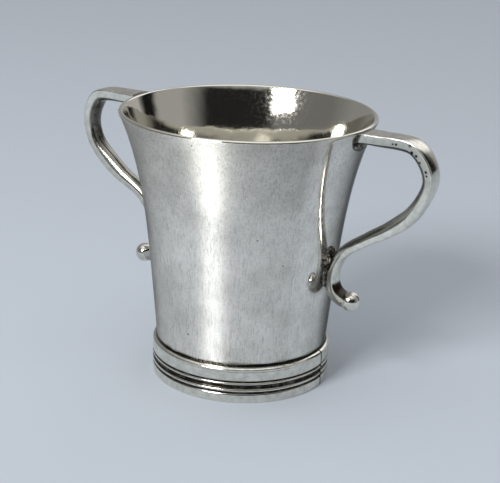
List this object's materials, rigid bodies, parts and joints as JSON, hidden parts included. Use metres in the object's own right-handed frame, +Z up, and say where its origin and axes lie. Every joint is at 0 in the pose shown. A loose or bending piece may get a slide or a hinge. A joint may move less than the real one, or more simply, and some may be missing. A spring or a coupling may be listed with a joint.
{
  "type": "tot measure",
  "caption": "Small silver tot measure: a flared cup on a reeded foot band, with scroll handles ending in balls on opposite sides.",
  "frame": {"origin": "on the cup's axis, in the plane that the foot band rests on", "axes": "+Z up the cup's axis to the rim, +X through the handle over the foot band's joint, -X through the other handle"},
  "size_m": [0.066, 0.0422, 0.045],
  "materials": {
    "satin_silver": "worn satin silver outside, mirror polished inside",
    "polished_silver": "polished silver with fine wear and dark tarnish in the hollows",
    "solder": "dull grey silver solder, tarnished"
  },
  "bodies": {
    "root": {"body_wall": "satin_silver", "base_disc": "satin_silver", "base_solder": "solder", "foot_band": "polished_silver", "foot_band_solder": "solder", "handle_bar_right": "polished_silver", "ball_terminal_right": "polished_silver", "root_solder_right": "solder", "joint_solder_right": "solder", "handle_bar_left": "polished_silver", "ball_terminal_left": "polished_silver", "root_solder_left": "solder", "joint_solder_left": "solder"}
  },
  "joints": []
}
